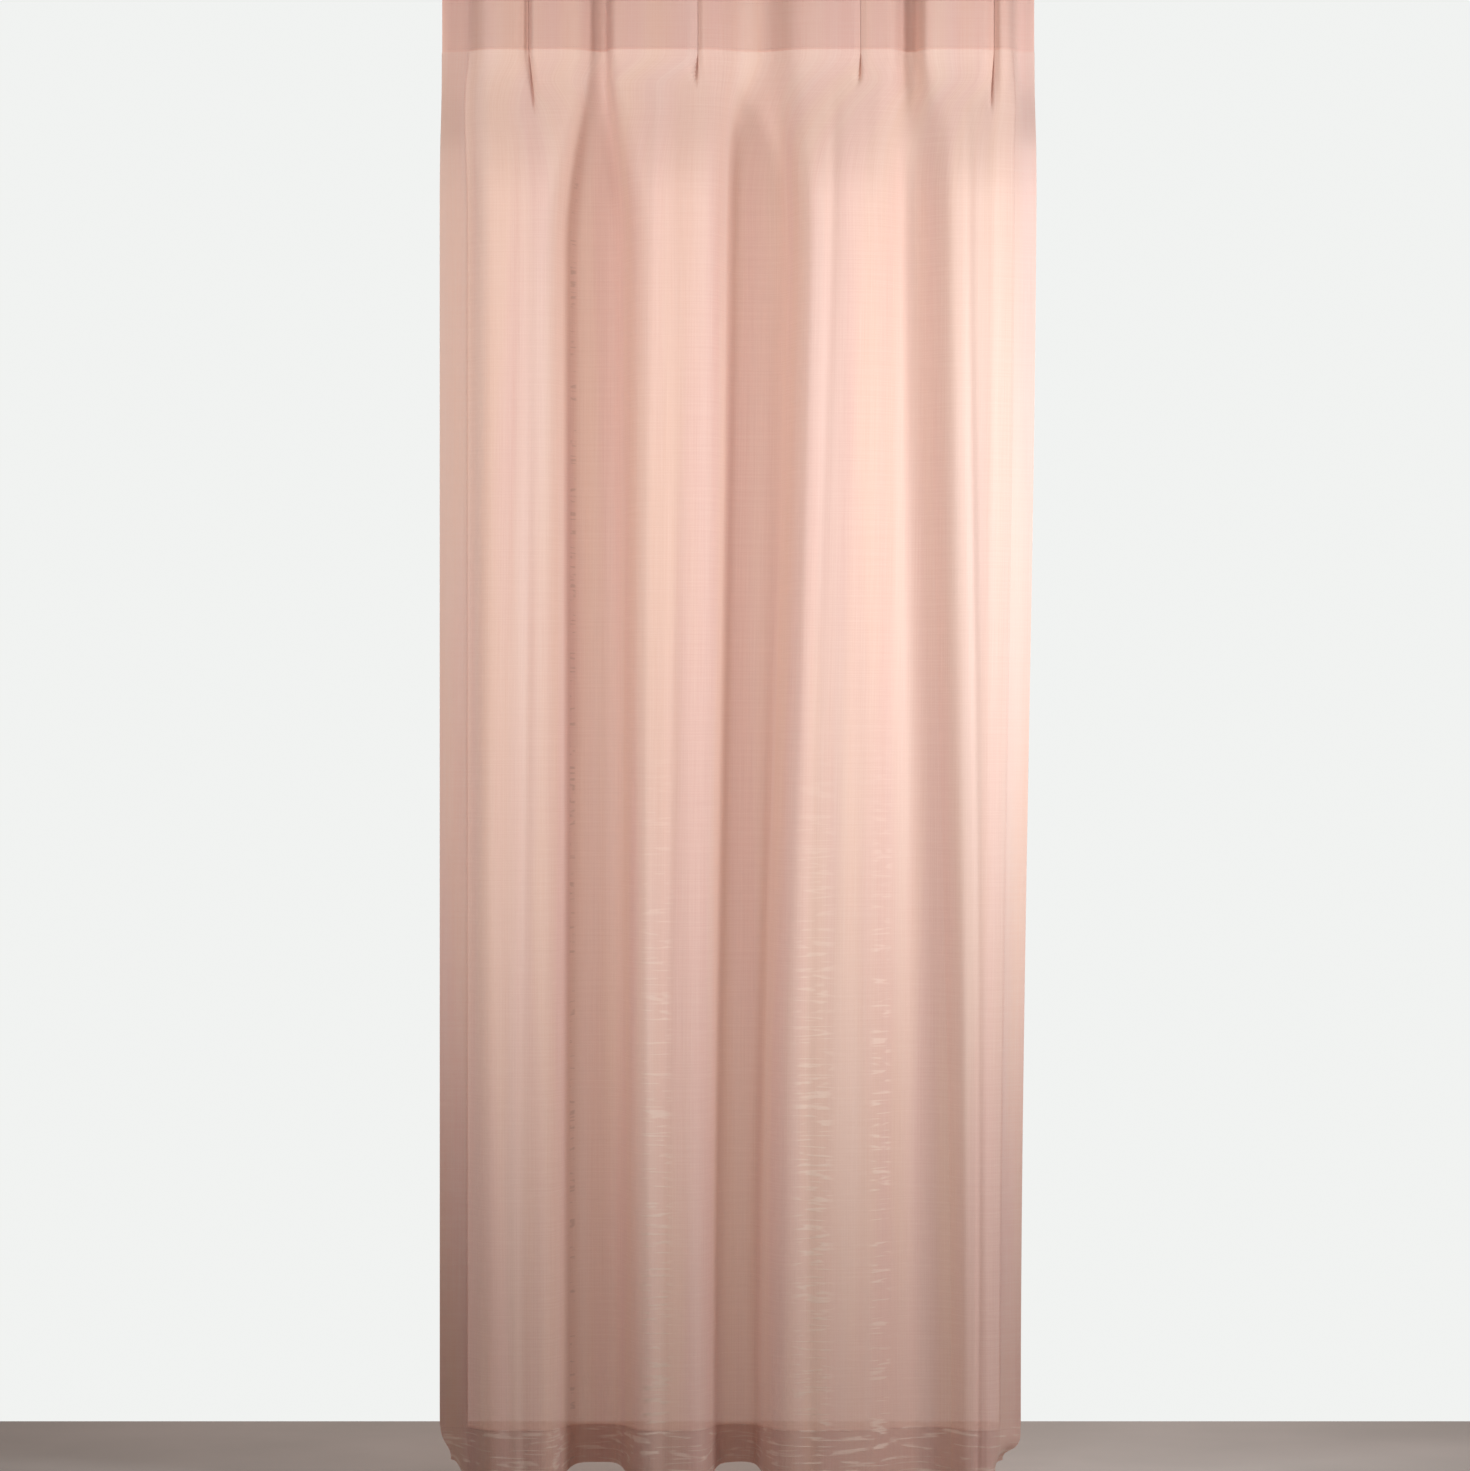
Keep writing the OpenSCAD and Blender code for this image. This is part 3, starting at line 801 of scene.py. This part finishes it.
# ---------------------------------------------------------------- the other materials
def tape_material():
    n = Nodes("heading_tape")
    weave = n.add("UVMap", uv_map="weave").outputs[0]
    place = n.add("SeparateXYZ", {0: weave})
    rib = n.math("SINE", n.math("MULTIPLY", place.outputs[0], 2 * math.pi / (1.1 * MM)))
    pick = n.math("SINE", n.math("MULTIPLY", place.outputs[1], 2 * math.pi / (0.7 * MM)))
    fuzz = n.noise(weave, 900, 900, 2)
    patch = n.noise(weave, 30, 60, 2)
    color = n.blend(n.ramp(patch, 0.35, 0.65), (0.80, 0.78, 0.74), (0.88, 0.87, 0.84))
    color = n.blend(n.ramp(rib, -1, 1, 0.0, 0.25), color, (0.62, 0.59, 0.55))
    height = n.math("ADD", n.math("MULTIPLY", rib, 0.5), n.math("MULTIPLY", pick, 0.25))
    height = n.math("ADD", height, n.math("MULTIPLY", fuzz, 0.5))
    bump = n.add("Bump", {"Height": height, "Strength": 0.5, "Distance": 0.25 * MM}).outputs[0]
    rough = n.ramp(fuzz, 0.3, 0.7, 0.72, 0.9)
    return n.finish(n.add("BsdfPrincipled", {"Base Color": color, "Roughness": rough, "Normal": bump,
                                             "Sheen Weight": 0.15, "Specular IOR Level": 0.25}).outputs[0])


def cord_material():
    n = Nodes("draw_cord")
    weave = n.add("UVMap", uv_map="weave").outputs[0]
    place = n.add("SeparateXYZ", {0: weave})
    lay = n.math("ADD", n.math("MULTIPLY", place.outputs[0], 2 * math.pi / (1.6 * MM)),
                 n.math("MULTIPLY", place.outputs[1], 2 * math.pi / (1.45 * MM)))
    strand = n.math("SINE", lay)
    fuzz = n.noise(weave, 1200, 1200, 2)
    # Painted shade: the cord is painted darker in the grooves between its strands, where the lay is low
    color = n.blend(n.ramp(strand, -1, 1), (0.66, 0.64, 0.60), (0.88, 0.87, 0.85))
    height = n.math("ADD", strand, n.math("MULTIPLY", fuzz, 0.5))
    bump = n.add("Bump", {"Height": height, "Strength": 0.7, "Distance": 0.2 * MM}).outputs[0]
    rough = n.ramp(fuzz, 0.3, 0.7, 0.6, 0.8)
    return n.finish(n.add("BsdfPrincipled", {"Base Color": color, "Roughness": rough, "Normal": bump,
                                             "Specular IOR Level": 0.3}).outputs[0])


def thread_material():
    n = Nodes("sewing_thread")
    place = n.add("TexCoord").outputs["Object"]
    tone = n.noise(place, 300, 300, 2, sz=300)
    color = n.blend(n.ramp(tone, 0.35, 0.65), (0.58, 0.36, 0.31), (0.72, 0.49, 0.43))
    ply = n.noise(place, 2600, 2600, 1, sz=2600)
    bump = n.add("Bump", {"Height": ply, "Strength": 0.5, "Distance": 0.06 * MM}).outputs[0]
    rough = n.ramp(ply, 0.3, 0.7, 0.45, 0.65)
    return n.finish(n.add("BsdfPrincipled", {"Base Color": color, "Roughness": rough, "Normal": bump,
                                             "Sheen Weight": 0.2}).outputs[0])


def label_material():
    n = Nodes("care_label")
    weave = n.add("UVMap", uv_map="weave").outputs[0]
    place = n.add("SeparateXYZ", {0: weave})
    satin = n.math("SINE", n.math("MULTIPLY", place.outputs[0], 2 * math.pi / (0.5 * MM)))
    tone = n.noise(weave, 60, 400, 2)
    color = n.blend(n.ramp(tone, 0.3, 0.7), (0.84, 0.83, 0.81), (0.92, 0.92, 0.90))
    height = n.math("ADD", n.math("MULTIPLY", satin, 0.3), tone)
    bump = n.add("Bump", {"Height": height, "Strength": 0.3, "Distance": 0.1 * MM}).outputs[0]
    rough = n.ramp(tone, 0.3, 0.7, 0.28, 0.42)
    return n.finish(n.add("BsdfPrincipled", {"Base Color": color, "Roughness": rough, "Normal": bump,
                                             "Sheen Weight": 0.1}).outputs[0])


def plastic_material():
    n = Nodes("hook_plastic")
    place = n.add("TexCoord").outputs["Object"]
    tone = n.noise(place, 180, 180, 3, sz=180)
    grain = n.noise(place, 3500, 3500, 2, sz=3500)
    scuff = n.ramp(n.noise(place, 900, 900, 3, 0.7, sz=220), 0.58, 0.72)
    color = n.blend(n.ramp(tone, 0.3, 0.7), (0.80, 0.80, 0.78), (0.86, 0.86, 0.85))
    color = n.blend(n.math("MULTIPLY", scuff, 0.25), color, (0.66, 0.65, 0.62))
    rough = n.math("ADD", n.ramp(grain, 0.3, 0.7, 0.30, 0.40), n.math("MULTIPLY", scuff, 0.2))
    bump = n.add("Bump", {"Height": grain, "Strength": 0.25, "Distance": 0.05 * MM}).outputs[0]
    return n.finish(n.add("BsdfPrincipled", {"Base Color": color, "Roughness": rough, "Normal": bump,
                                             "Subsurface Weight": 0.1, "Subsurface Scale": 1 * MM}).outputs[0])


def make_all():
    tape, cord, thread = tape_material(), cord_material(), thread_material()
    plastic = plastic_material()
    panel = make_panel()
    hooks = [make_hook(k, plastic) for k in range(HOOK_COUNT)]
    across_seam = (TAPE_IN, FLAT_W - TAPE_IN)
    side_seam = (TURNOVER_Z - 3 * MM, HEM_TOP_Z + 3 * MM)
    seam_in = SIDE_HEM_W - 2 * MM
    others = [
        make_turnover(),
        make_side_hem("side_hem_left", 0.0, 1),
        make_side_hem("side_hem_right", FLAT_W, -1),
        make_bottom_hem(),
        make_tape(tape),
        make_pockets(tape),
        make_cord("draw_cord_upper", CORD_ZS[0], cord),
        make_cord("draw_cord_lower", CORD_ZS[1], cord),
        stitch_row("heading_stitching_upper", *across_seam, TAPE_TOP_Z - 3 * MM, False, TAPE_FAR, thread),
        stitch_row("heading_stitching_lower", *across_seam, TAPE_LOW_Z + 3 * MM, False, TAPE_FAR, thread),
        stitch_row("side_stitching_left", *side_seam, seam_in, True, HEM_OUTER_OFF, thread),
        stitch_row("side_stitching_right", *side_seam, FLAT_W - seam_in, True, HEM_OUTER_OFF, thread),
        stitch_row("hem_stitching", 3 * MM, FLAT_W - 3 * MM, HEM_TOP_Z - 3 * MM, False, HEM_OUTER_OFF, thread),
        make_label(label_material()),
    ]
    for piece in [panel, *others]:
        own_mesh(piece)


make_all()


# ---------------------------------------------------------------- stage
def add_spot(name, location, aim, energy, cone, blend, radius, color):
    data = bpy.data.lights.new(name, "SPOT")
    data.energy, data.color, data.shadow_soft_size = energy, color, radius
    data.spot_size, data.spot_blend = math.radians(cone), blend
    place(name, data, location, aim)


def add_area(name, location, aim, energy, size, color):
    data = bpy.data.lights.new(name, "AREA")
    data.energy, data.color = energy, color
    data.shape, data.size, data.size_y = "RECTANGLE", *size
    place(name, data, location, aim)


def place(name, data, location, aim):
    light = bpy.data.objects.new(name, data)
    light.location = location
    light.rotation_euler = (Vector(aim) - Vector(location)).to_track_quat("-Z", "Y").to_euler()
    bpy.context.scene.collection.objects.link(light)


def add_lights():
    """Soft studio light: in front and a little left, a paler one near the right, and the glow of a wall behind."""
    add_spot("front", (0.45, -2.60, -0.40), (0.5, 0, -0.42), 73, 82, 0.6, 0.35, (1.0, 0.985, 0.97))
    add_spot("left", (-1.45, -1.85, -0.45), (0.5, 0, -0.45), 66, 84, 0.6, 0.30, (1.0, 0.985, 0.97))
    add_area("right", (1.85, -0.95, -0.82), (0.85, 0, -0.82), 17, (0.4, 1.3), (0.95, 0.98, 1.0))
    add_area("wall_glow", (0.5, 1.6, -0.6), (0.5, 0, -0.6), 17, (1.8, 1.0), (1.0, 0.96, 0.92))


def make_stage():
    floor_z = BOTTOM_Z - 12 * MM
    n = Nodes("pale_floor")
    place = n.add("TexCoord").outputs["Object"]
    shade = n.ramp(n.noise(place, 3, 3, 3), 0.3, 0.7)
    color = n.blend(shade, (0.60, 0.56, 0.53), (0.66, 0.61, 0.58))
    material = n.finish(n.add("BsdfPrincipled", {"Base Color": color, "Roughness": 0.6}).outputs[0])
    corners = [(-4, -6, floor_z), (5, -6, floor_z), (5, 0.77, floor_z), (-4, 0.77, floor_z)]
    floor = add_object("floor", corners, [(0, 1, 2, 3)], material, smooth=False)
    add_lights()
    world = bpy.data.worlds.new("studio")
    bpy.context.scene.world = world
    world.use_nodes = True
    tree = world.node_tree
    background = tree.nodes["Background"]
    background.inputs["Color"].default_value = (0.98, 0.87, 0.82, 1)
    background.inputs["Strength"].default_value = 0.24
    seen = tree.nodes.new("ShaderNodeBackground")
    seen.inputs["Color"].default_value = (0.74, 0.75, 0.74, 1)
    seen.inputs["Strength"].default_value = 1.0
    path = tree.nodes.new("ShaderNodeLightPath")
    both = tree.nodes.new("ShaderNodeMixShader")
    tree.links.new(path.outputs["Is Camera Ray"], both.inputs[0])
    tree.links.new(background.outputs[0], both.inputs[1])
    tree.links.new(seen.outputs[0], both.inputs[2])
    tree.links.new(both.outputs[0], tree.nodes["World Output"].inputs["Surface"])


make_stage()
bpy.context.scene.view_settings.view_transform = "Standard"
bpy.context.scene.view_settings.look = "Medium High Contrast"
